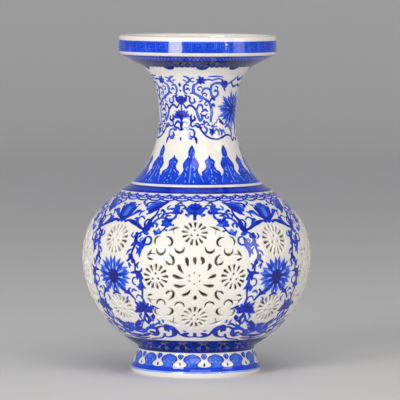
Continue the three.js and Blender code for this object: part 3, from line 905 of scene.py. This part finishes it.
neck = Canvas(clip_heights(neck_outline(), SHOULDER_JOINT, MOUTH_JOINT), 0.5, 480)


def paint_neck():
    """Two flower columns, a quarter turn apart, each the mirror line of the scrolls between them."""
    brush = {"wobble": 0.1, "across": 1.75, "boldness": 1.12}
    pen = Pen(neck, DEGREES, None, mirrored(-24, 2), **brush)
    deep, mid, light, pale = 0.82, 0.62, 0.36, 0.1
    # Crown, heart flower and ruyi collar down the first column.
    pen.stroke([(0, 240.2), (0, 239.2)], [1.9, 1.9], deep)
    pen.stroke([(0, 235.4), (0, 234.6)], [1.1, 1.1], mid)
    pen.bloom(0, 225.6, 6, 0.5, 5.6, 3, mid, start=22, spread=164)
    pen.stroke([(0, 225), (0, 229)], [3.4, 3], deep)
    pen.stroke([(0, 224.6), (4.4, 226.6), (8.4, 230), (6.2, 231.6)], [2, 2.2, 1.5, 1], deep)
    pen.stroke([(0, 224), (0, 219.6)], [1.2, 1.2], deep)
    pen.bloom(0, 213, 9, 0.6, 8.8, 2.9, mid, start=4, spread=192, squash=0.84, uneven=0.1)
    pen.bloom(0, 213, 7, 0.4, 5.8, 2.2, deep, start=24, spread=154)
    pen.stroke([(0, 214.6), (0, 210)], [5.4, 1.2], deep)
    pen.stroke([(0, 210), (0.8, 207), (0, 203)], [1.3, 1.8, 1.3], deep)
    pen.stroke([(1.4, 207.4), (5, 209.6), (9.4, 208.2), (10.4, 206.4)], [1, 1.9, 1.7, 0.8], mid)
    pen.stroke([(0, 202.4), (3, 203.2), (5.6, 204.6), (9.6, 204.8), (13.6, 206.8), (16.6, 205.4)],
               [1.2, 1.2, 1.4, 1.4, 1.4, 1], deep)
    pen.stroke([(13.6, 206.8), (15.4, 209.8), (12.4, 211.4)], [1.2, 1.8, 1], mid)
    pen.stroke([(7.4, 203.4), (10.6, 202.4), (12.4, 204.4)], [1, 1.5, 1], mid)
    pen.stroke([(14.4, 203.4), (19, 202.4), (20.4, 198.8), (17.6, 196.6), (14.4, 198)],
               [1.1, 1.5, 1.6, 1.5, 1.2], deep, core=0.3)
    pen.stroke([(13.6, 200.6), (11.4, 198.4), (12.8, 195.8), (16, 195.4)], [1.1, 1.6, 1.4, 1.1], mid)
    pen.stroke([(19.6, 197.6), (22.4, 195.4), (23.4, 191.8)], [1, 2, 0.7], deep)
    pen.stroke([(0, 195.6), (0, 194.4)], [1.7, 1], mid)
    # Scrolls to the right of it.
    pen.stroke([(7.4, 247), (12.4, 245.6), (13.4, 243), (9.4, 241.4)], [1, 1.7, 1.6, 1], deep, core=0.3)
    pen.stroke([(6.4, 243.8), (8.8, 243)], [1.2, 1], mid)
    pen.stroke([(12.6, 239.4), (8, 240), (5.6, 237.4), (6, 234), (9, 232.4)], [1, 1.5, 1.9, 1.6, 1], deep,
               core=0.3)
    pen.stroke([(8.6, 236), (11.4, 237), (13.4, 235.6)], [1, 1.6, 1], mid)
    pen.stroke([(23.4, 241), (19.4, 239.4), (18.6, 236), (20.4, 233)], [1.2, 2, 2.4, 1.4], mid, core=0.34)
    pen.bloom(28.4, 243.6, 7, 0.6, 4.2, 2.1, mid, start=12, uneven=0.2)
    pen.bloom(28.4, 243.4, 4, 0, 2.4, 2, deep, start=45)
    pen.stroke([(14.4, 232.6), (18, 233.4), (24, 231.6), (31, 229.4), (38.6, 227)],
               [0.9, 1.5, 1.7, 1.7, 1.6], deep, core=0.3)
    pen.stroke([(38.6, 227), (43.6, 222.8), (46, 216.6), (44.4, 210.6), (46.4, 205.4)],
               [1.6, 1.8, 1.9, 1.7, 1.3], deep, core=0.3)
    pen.stroke([(10.4, 230.8), (13, 229.4), (12.6, 226.6), (15.6, 224.8), (20, 226), (19, 228.6)],
               [1, 1.5, 1.4, 1.5, 1.5, 1], mid)
    pen.stroke([(3.6, 224), (7.4, 221), (12.4, 223), (17.4, 222.2), (22.6, 219)],
               [1, 1.5, 1.5, 1.6, 1.4], deep)
    pen.stroke([(22.6, 219), (26.4, 223.4), (31, 222.8), (31.6, 220.2)], [1.3, 1.7, 1.6, 1], deep, core=0.3)
    pen.stroke([(22.6, 219), (25, 214.4), (28.6, 210.6), (31.4, 213), (29, 216.4)],
               [1.6, 2, 1.9, 1.7, 1.1], deep, core=0.3)
    pen.stroke([(30.8, 217.8), (35.4, 219.6), (39.6, 218)], [1.2, 2.2, 1.1], mid)
    pen.stroke([(31.4, 214.8), (35.6, 214.6)], [1.1, 1.6], mid)
    pen.stroke([(15, 215), (14.4, 212), (17.4, 210.4), (20.6, 211.8), (19.4, 214)],
               [1.1, 1.5, 1.6, 1.5, 1], deep)
    pen.stroke([(34.4, 210), (34.4, 209.2)], [1.8, 1.8], mid)
    pen.stroke([(49.6, 227.6), (45.6, 229), (43, 226.4)], [1.8, 1.6, 1.3], deep)
    pen.stroke([(49.8, 222.8), (47, 224.2), (45, 221.6)], [1.7, 1.5, 1.2], deep)
    pen.stroke([(33, 243.4), (37.4, 244.6), (43.4, 244), (50, 245.2), (57, 244.4)],
               [1, 1.3, 1.2, 1.3, 0.9], mid)
    pen.stroke([(37.4, 246.9), (47, 247.2), (57, 246.6)], [0.8, 1.2, 0.8], mid)
    pen.stroke([(30, 233.4), (33, 236.6), (38.4, 237), (42.4, 235)], [1.1, 1.7, 1.6, 1.2], mid, core=0.3)
    pen.stroke([(42.6, 236), (43.4, 239.6), (49, 241.4), (56.4, 241), (61, 238.4)],
               [1.7, 2, 1.9, 1.7, 1.2], deep, core=0.3)
    pen.stroke([(42.6, 236), (44.6, 231.4), (49.6, 229.8), (54.4, 232), (52.6, 235), (48.6, 234.6)],
               [1.7, 2, 1.9, 1.7, 1.4, 1.5], deep, core=0.3)
    pen.stroke([(57.4, 243.4), (60.4, 240.4), (65.4, 238)], [1.6, 3, 1.4], mid)
    pen.stroke([(61, 243), (64.6, 241.4), (66.4, 238.6)], [1.4, 2.4, 1], deep)
    pen.stroke([(62, 237.4), (65.6, 235)], [1.3, 1.2], deep)
    pen.stroke([(68, 240.4), (74, 242.6), (80, 245.4)], [1.2, 1.5, 1.2], deep, core=0.3)
    pen.stroke([(74, 242.2), (77.6, 239.4), (83, 238.4), (90, 240)], [1.1, 1.5, 1.6, 1.4], deep)
    pen.stroke([(82, 247), (86, 244.6), (90, 244)], [1.2, 2.6, 2.2], mid)
    # Small curls in the spaces between.
    for x, y, start, sweep in ((27, 236.6, 20, 250), (35, 231.6, 200, -240), (37.6, 224, 30, 270),
                               (39.4, 213.6, 90, 250), (24.4, 206.2, 150, -260), (31, 205.6, 20, 240),
                               (38.6, 207.6, 190, -230), (50, 236.6, 120, -250), (53, 206.6, 60, 250),
                               (58, 209.6, 200, -220), (27.4, 228, 240, 220), (17.8, 243.6, 60, 240)):
        pen.curl(x, y, 2.3, start, sweep, 1.15, mid)
    # Great peony of the second column, a little off the mirror line.
    peony = Pen(neck, DEGREES, None, spaced(63, 2), **brush)
    peony.bloom(0, 219.4, 22, 4, 18.6, 3.6, light, start=6, uneven=0.18, squash=0.86)
    peony.bloom(0, 219.4, 20, 3, 16.2, 2.4, mid, start=0, uneven=0.24, squash=0.9)
    peony.bloom(0, 219.4, 15, 1, 11.4, 1.7, deep, start=9, uneven=0.3)
    peony.bloom(0, 219.4, 11, 4.4, 11.6, 0.9, 0.02, start=4, uneven=0.2)
    peony.bloom(0, 219.4, 9, 0, 4.2, 2.0, deep, start=0)
    pen.stroke([(58, 212.4), (61.6, 209.6), (66, 207.6)], [0.8, 2.2, 1.6], deep)
    pen.stroke([(70, 204.6), (76, 206.4), (82, 203.4), (84, 199.4)], [1, 2.4, 2.6, 1.2], deep, core=0.3)
    pen.stroke([(84, 199.4), (81.4, 196.4), (84.6, 193.8), (89, 196)], [1, 1.4, 1.4, 1.1], deep)
    # Lower scroll above the leaves.
    pen.stroke([(17, 205.4), (22.4, 206.4), (28.4, 204.4), (32.6, 201), (38, 197.8), (45, 195.8)],
               [0.9, 1.2, 1.3, 1.3, 1.3, 1.2], deep)
    pen.stroke([(45, 195.8), (54, 195), (63, 196.6), (72, 198.4), (80, 197.4)],
               [1.2, 1.5, 1.6, 1.4, 1.1], deep)
    pen.bloom(47, 201.4, 6, 0.5, 3.8, 2, mid, start=20, uneven=0.2)
    pen.bloom(47, 201.4, 3, 0, 2, 1.8, deep, start=50)
    pen.stroke([(35, 205.6), (38.6, 203.6), (37.4, 200.6), (34.6, 200.8)],
               [1.2, 1.8, 1.6, 1.1], mid, core=0.3)
    pen.stroke([(52.4, 203.6), (56.6, 201.6), (57, 198.2)], [1.4, 2, 1.1], deep)
    pen.stroke([(59, 203.4), (62.6, 200.6), (61.6, 198)], [1.2, 1.9, 1], mid)
    pen.stroke([(42, 206.8), (46.8, 206.4), (50, 205)], [1, 1.5, 1], mid)
    pen.stroke([(66, 202.6), (69, 200)], [1.6, 1], mid)


# Half outlines as (height, half width in degrees).
TALL_LEAF = ((190.5, 0.2), (188.6, 2.4), (185.6, 4.4), (182.8, 4), (181, 4.2), (178.6, 6.6), (175.6, 9.4),
             (173, 9.2), (170.4, 7.6), (167.8, 9.2), (164.6, 13.8), (161, 19.2), (158.6, 22.8))
SHORT_LEAF = ((182.4, 0.2), (180, 1.8), (178.4, 5.4), (177, 6.5), (175.2, 5.4), (173.4, 4.8),
              (171, 6.4), (168.8, 10.6), (166.6, 10), (163, 10.6), (158.6, 13))
LEAVES = 8  # of each kind
TALL_AT, SHORT_AT = -7.0, 15.5  # azimuths of the first ones in degrees


def paint_leaves():
    """Banana leaves standing on the shoulder line, tall and short by turns."""
    neck.shape(TALL_AT, LEAVES, TALL_LEAF, 0.82)
    neck.shape(SHORT_AT, LEAVES, SHORT_LEAF, 0.82)
    neck.shape(TALL_AT, LEAVES, TALL_LEAF, 0.6, inset=0.9)
    neck.shape(SHORT_AT, LEAVES, SHORT_LEAF, 0.62, inset=0.8)
    pale = 0.0
    for first, tall in ((TALL_AT, True), (SHORT_AT, False)):
        pen = Pen(neck, DEGREES, None, mirrored(first, LEAVES), wobble=0.06, across=1.4)
        if tall:
            pen.stroke([(0, 160.6), (0, 174.4)], [0.5, 0.7, 0.4], pale)
            pen.stroke([(3.8, 161.6), (3.9, 160.8)], [0.9, 0.9], pale)
            pen.stroke([(5.6, 165), (4.4, 166.6), (5.8, 168)], [0.6, 0.7, 0.6], pale)
            pen.stroke([(3.8, 170), (5, 171.4), (3, 173)], [0.6, 0.7, 0.5], pale)
            pen.stroke([(2.2, 180.4), (4, 181.6)], [0.9, 0.6], pale)
            pen.stroke([(0.9, 183.4), (0, 187.2)], [0.5, 0.4], 0.35)
            pen.stroke([(2.6, 177.2), (5.6, 175.2)], [0.5, 0.7, 0.5], 0.3)
            pen.stroke([(9.6, 167.4), (13.4, 161)], [0.5, 0.6, 0.5], pale)
        else:
            for x, y in ((0, 165.8), (3.4, 164), (0, 162.2), (1.8, 160.4)):
                pen.stroke([(x, y), (x, y - 0.3)], [0.9, 0.9], pale)
            pen.stroke([(2.2, 176.8), (3.9, 176)], [0.7, 0.5], pale)
            pen.stroke([(0, 173), (0, 178)], [0.5, 0.5, 0.3], 0.3)
            pen.stroke([(3.6, 170.4), (6.8, 168.4)], [0.6, 0.7, 0.5], pale)
            pen.stroke([(0, 168), (0, 171)], [0.5, 0.4], pale)


paint_neck()
paint_leaves()
neck_piece = turned("neck_painted", neck, inner(np.column_stack([neck.r, neck.z]), WALL), GLAZE)
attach(neck_piece, "root")
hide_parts("neck", "shoulder_seam")


# ------------------------------------------------------------------------------------------------ mouth

mouth = Canvas(mouth_outline(), 0.5, 816)
FRETS = 40


def paint_mouth():
    mouth.band(266.7, 276.0, 0.66)
    pitch = 2 * math.pi * MOUTH_R / FRETS
    pen = Pen(mouth, MOUTH_R, None, spaced(0, FRETS), wobble=0.05)
    left, right, top, low = -pitch * 0.36, pitch * 0.36, 274.9, 267.8
    # Key fret: a square spiral and an upright bar in every pitch.
    spiral = [(right, low), (left, low), (left, top), (right, top), (right, low + 2.1),
              (left + 2.2, low + 2.1), (left + 2.2, top - 2.1), (right - 2.2, top - 2.1)]
    for a, b in zip(spiral, spiral[1:]):
        pen.curve(np.linspace(a, b, 3), [0.8, 0.8], 0.46)
    pen.curve(np.linspace((pitch / 2, low - 0.4), (pitch / 2, top + 0.4), 3), [0.6, 0.6], 0.34)
    # Narrow diaper band under the white line, then the dark scalloped underside.
    mouth.band(260.2, 264.0, 0.8)
    _, turn = mouth.aside(0, 120)
    wave = np.abs(turn) * 4 - 1
    level = 261.95 + 0.95 * wave
    mouth.fill(0.32 - np.abs(mouth.z[:, None] - level), 0.18)
    first_lobe, lobes = 5, 10
    _, lobe = mouth.aside(first_lobe, lobes)
    # A deep lobe with two shallow ones on each side: drop in mm, middle and half width in repeats.
    drops = [drop * np.sqrt(np.clip(1 - ((np.abs(lobe) - middle) / half) ** 2, 0, 1))
             for drop, middle, half in ((1.0, 0.27, 0.075), (1.0, 0.42, 0.08), (3.0, 0, 0.19))]
    scallop = 255.4 - np.maximum.reduce(drops)
    inside = np.minimum((mouth.z[:, None] - scallop) * 1.15, (260.3 - mouth.z)[:, None])
    mouth.fill(inside, 1.0)
    pen = Pen(mouth, DEGREES, None, mirrored(first_lobe, lobes), wobble=0.1, across=1.2)
    pen.stroke([(0, 253.6), (2.6, 254.4), (4.2, 256), (2.4, 257.2)], [0.4, 0.5, 0.5, 0.4], 0.74)
    pen.stroke([(0, 256.2), (1.4, 257.4), (0, 258.6)], [0.4, 0.5, 0.4], 0.72)
    pen.stroke([(7, 257), (9.6, 258.2), (12.6, 257), (11, 256)], [0.4, 0.5, 0.5, 0.4], 0.74)
    pen.stroke([(14.6, 257.4), (18, 258.4)], [0.4, 0.5], 0.74)


def mouth_inside():
    """Up the throat, over the sloping floor of the dish and up its wall to the crest of the lip."""
    outer = np.column_stack([mouth.r, mouth.z])
    throat = inner(outer[outer[:, 1] < 255.5], WALL)
    floor = bezier((45.5, 258.4), (52, 263), (MOUTH_R - WALL, 265), (MOUTH_R - WALL, 271.5))
    a = np.linspace(-math.pi / 2, 0, 7)[:-1]
    lip = np.column_stack([MOUTH_R - LIP + LIP * np.sin(a), HEIGHT - LIP + LIP * np.cos(a)])
    return np.vstack([throat, floor, lip])


paint_mouth()
mouth_piece = turned("mouth_painted", mouth, mouth_inside(), GLAZE)
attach(mouth_piece, "root")
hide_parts("mouth_dish", "mouth_seam")


# ------------------------------------------------------------------------------------------ shoulder collar

def collar_outline():
    line = [(STRING_R - 1.3, SHOULDER_JOINT), (STRING_R - 0.3, 158.3), (STRING_R, 157.6), (STRING_R, 157.1)]
    slope = belly_outline(156.3, COLLAR_JOINT)
    return np.vstack([smooth(line, 5), slope])


collar = Canvas(collar_outline(), 0.4, 640)
collar.band(COLLAR_JOINT - 1, 156.9, 0.84)
collar.band(153.2, 155.6, 0.66)
collar_piece = turned("collar_painted", collar, inner(np.column_stack([collar.r, collar.z]), WALL), GLAZE)
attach(collar_piece, "root")
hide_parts("shoulder_collar", "collar_seam")


# ------------------------------------------------------------------------------------------------- foot

foot = Canvas(foot_outline(), 0.45, 640)
HEADS = 16
HEAD_AT = -3.5  # azimuth of the first head in degrees
BUD_AT = HEAD_AT + 180 / HEADS  # a bud hangs between each two heads
RUYI_HEAD = ((19.2, 0.3), (18.7, 3), (17.4, 6.6), (15.4, 8.4), (13.8, 8.2), (12.6, 6.6), (11.6, 5.2),
             (10, 5), (9.2, 7), (8.4, 11.3), (6, 11.3))
BUD = ((19.6, 1.4), (18.4, 2.7), (16.8, 2.9), (15.6, 1.6), (14.6, 0.3))


def paint_foot():
    """The dark band, ruyi heads with buds between them, and the two lines at the bottom."""
    foot.band(20.2, FOOT_JOINT + 2, 0.96)
    foot.shape(HEAD_AT, HEADS, RUYI_HEAD, 0.97)
    foot.shape(HEAD_AT, HEADS, RUYI_HEAD, 0.4, inset=0.95)
    foot.shape(BUD_AT, HEADS, BUD, 0.9)
    foot.shape(BUD_AT, HEADS, BUD, 0.34, inset=0.7)
    foot.band(5.2, 8.8, 0.62)
    foot.band(3.9, 5.0, 0.16)
    pen = Pen(foot, DEGREES, None, mirrored(HEAD_AT, HEADS), wobble=0.06, across=1.12)
    for x, y in ((0, 16.6), (2.1, 15), (0, 13.2)):
        pen.stroke([(x, y), (x + 0.2, y)], [0.7, 0.7], 0.1)
    pen.stroke([(3.6, 12.6), (5.4, 13.4)], [0.8, 0.6], 0.1)
    between = BUD_AT - HEAD_AT
    pen.stroke([(between, 12), (between, 10.6)], [0.8, 1.8], 0.97)
    pen.stroke([(between, 16.4), (between, 18.2)], [0.6, 0.6], 0.8)
    # Dotted uprights and small scrolls in the dark band.
    panels = 16
    pen = Pen(foot, DEGREES, None, mirrored(0, panels), wobble=0.06, across=1.1)
    for height in np.arange(26.2, FOOT_JOINT + 0.4, 1.25):
        pen.stroke([(4.2, height), (4.2, height + 0.2)], [0.6, 0.6], 0.22)
    pen.stroke([(4.2, 25), (5.2, 23.6), (7, 23.8), (7.2, 22.2)], [0.4, 0.6, 0.6, 0.4], 0.34)
    pen.stroke([(4.2, 25), (3, 23.4), (1.8, 22.4)], [0.4, 0.6, 0.4], 0.34)


def foot_inside():
    """Up the inside of the foot, past the edge of the base."""
    wall = smooth([(48.2, 0), (46.8, 1.6), (45.8, 4), (BASE_R + 1, 11), (BASE_R + 0.6, 20)], 5)
    hollow = smooth([(BASE_R + 1.6, 23.4), (47.6, 26.4), (54.4, FOOT_JOINT)], 5)
    return np.vstack([wall, hollow])


paint_foot()
foot_piece = turned("foot_painted", foot, foot_inside(), GLAZE)
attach(foot_piece, "root")
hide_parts("foot", "foot_seam")

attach(belly_upper, "root")
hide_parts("belly_upper")
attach(belly_lower, "root")
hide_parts("belly_lower", "belly_seam")


# ---------------------------------------------------------------------------------------- liner and base

def closed_turned(name, line, columns, material):
    """A solid of revolution whose outline starts and ends on the axis."""
    theta = np.arange(columns) * 2 * math.pi / columns
    body = line[1:-1]
    points = ring_points(body[:, 0], body[:, 1], theta).reshape(-1, 3)
    tips = np.array([[0, 0, line[0, 1]], [0, 0, line[-1, 1]]]) * MM
    first = len(points)
    j = np.arange(columns)
    last_row = (len(body) - 1) * columns
    cap = np.column_stack([np.full(columns, first), j, (j + 1) % columns])
    end = np.column_stack([np.full(columns, first + 1), last_row + (j + 1) % columns, last_row + j])
    return make_mesh(name, np.vstack([points, tips]), [grid_faces(len(body), columns, False), cap, end],
                     {}, material)


def liner_shape():
    outer = liner_outline()
    edge = smooth([(39.5, 26.4), (36, LINER_FLOOR + 1.6), (32, LINER_FLOOR)], 5)
    line = np.vstack([outer, edge])
    inside = inner(outer, LINER_WALL)
    well = smooth([(31, LINER_FLOOR + LINER_WALL), (34.6, LINER_FLOOR + LINER_WALL + 0.8),
                   (38.6, 29.6)], 5)
    start = [(0, LINER_FLOOR + LINER_WALL)]
    inside = inside[inside[:, 1] > 31.5]
    return np.vstack([start, well, inside, line, [(0, LINER_FLOOR)]])


def base_shape():
    top, low = BASE_HIGH, BASE_LOW
    a = np.linspace(0, math.pi / 2, 6)
    upper = np.column_stack([BASE_R - 0.6 + 0.6 * np.sin(a), top - 0.6 + 0.6 * np.cos(a)])
    under = np.column_stack([BASE_R - 1.2 + 1.2 * np.cos(a), low + 1.2 - 1.2 * np.sin(a)])
    dish = [(30, low + 0.5), (15, low + 0.8)]
    return np.vstack([[(0, top)], [(20, top)], upper, under, dish, [(0, low + 0.9)]])


# The liner's own glaze is cream. Its colour here is painted darker and browner as painted shade, for the
# shadow inside the pierced shell that shows through the holes.
LINER_SHADED_GLAZE = porcelain("liner_glaze", painted=False, white=(0.66, 0.57, 0.44), warm=(0.62, 0.51, 0.37),
                        roughness=0.16)
BASE_GLAZE = porcelain("base_glaze", painted=False, roughness=0.2)
liner = closed_turned("liner_turned", liner_shape(), 144, LINER_SHADED_GLAZE)
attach(liner, "root")
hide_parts("liner_shoulder", "liner_upper", "liner_lower", "liner_bowl", "liner_seam")
base = closed_turned("base_turned", base_shape(), 144, BASE_GLAZE)
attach(base, "root")
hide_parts("base_disc")


# ------------------------------------------------------------------------------------------ stage, light

def look_at(obj, target):
    obj.rotation_mode = "QUATERNION"
    obj.rotation_quaternion = (Vector(target) - obj.location).to_track_quat("-Z", "Y")


def make_camera():
    """A long lens, far in front and a little higher than the vase, looking slightly down."""
    data = bpy.data.cameras.new("camera")
    data.sensor_width = 36
    data.lens = 343
    camera = bpy.data.objects.new("camera", data)
    bpy.context.collection.objects.link(camera)
    camera.location = (0, -3.16, 0.355)
    look_at(camera, (0.0027, 0, 0.143))
    camera.rotation_quaternion = camera.rotation_quaternion @ Quaternion((0, 0, 1), math.radians(0.3))
    bpy.context.scene.camera = camera


def area_light(name, azimuth, height, distance, size, power, colour=(1, 1, 1)):
    """A rectangular soft light that faces the vase. Azimuth 0 is in front, positive to the right."""
    data = bpy.data.lights.new(name, "AREA")
    data.shape = "RECTANGLE"
    data.size, data.size_y = size
    data.energy = power
    data.color = colour
    light = bpy.data.objects.new(name, data)
    bpy.context.collection.objects.link(light)
    a = math.radians(azimuth)
    light.location = (math.sin(a) * distance, -math.cos(a) * distance, height)
    look_at(light, (0, 0, 0.15))


def make_stage():
    """A round floor, in metres, that curves up into a wall beyond the camera, all the way round."""
    mesh = bpy.data.meshes.new("floor")
    reach, bend, wall, around = 4.4, 1.2, 2.4, 96
    rows = [(reach - bend + bend * math.sin(a), bend - bend * math.cos(a))
            for a in np.linspace(0, math.pi / 2, 17)] + [(reach, wall)]
    turns = [2 * math.pi * k / around for k in range(around)]
    points = [(r * math.cos(a), r * math.sin(a), z) for r, z in rows for a in turns]
    faces = [(i * around + k, i * around + (k + 1) % around,
              (i + 1) * around + (k + 1) % around, (i + 1) * around + k)
             for i in range(len(rows) - 1) for k in range(around)]
    faces.append(tuple(reversed(range(around))))
    mesh.from_pydata(points, [], faces)
    mesh.polygons.foreach_set("use_smooth", [True] * (len(faces) - 1) + [False])
    material = bpy.data.materials.new("pale_floor")
    material.use_nodes = True
    shader = material.node_tree.nodes["Principled BSDF"]
    shader.inputs["Base Color"].default_value = (0.8, 0.79, 0.77, 1)
    shader.inputs["Roughness"].default_value = 0.8
    mesh.materials.append(material)
    floor = bpy.data.objects.new("floor", mesh)
    bpy.context.collection.objects.link(floor)


def make_light():
    scene = bpy.context.scene
    world = bpy.data.worlds.new("studio")
    world.use_nodes = True
    background = world.node_tree.nodes["Background"]
    background.inputs["Color"].default_value = (0.86, 0.9, 1.0, 1)
    background.inputs["Strength"].default_value = 0.3
    scene.world = world
    scene.view_settings.view_transform = "Standard"
    area_light("softbox", -32, 0.6, 2.6, (0.92, 1.1), 43, (1.0, 0.98, 0.95))
    area_light("overhead", 10, 1.9, 1.7, (1.5, 1.2), 16, (1.0, 0.97, 0.93))
    area_light("right_fill", 62, 0.8, 2.6, (0.9, 1.5), 13, (1.0, 0.93, 0.84))
    area_light("lamp", 42, 0.3, 2.4, (0.12, 0.12), 4)


make_stage()
make_light()
make_camera()
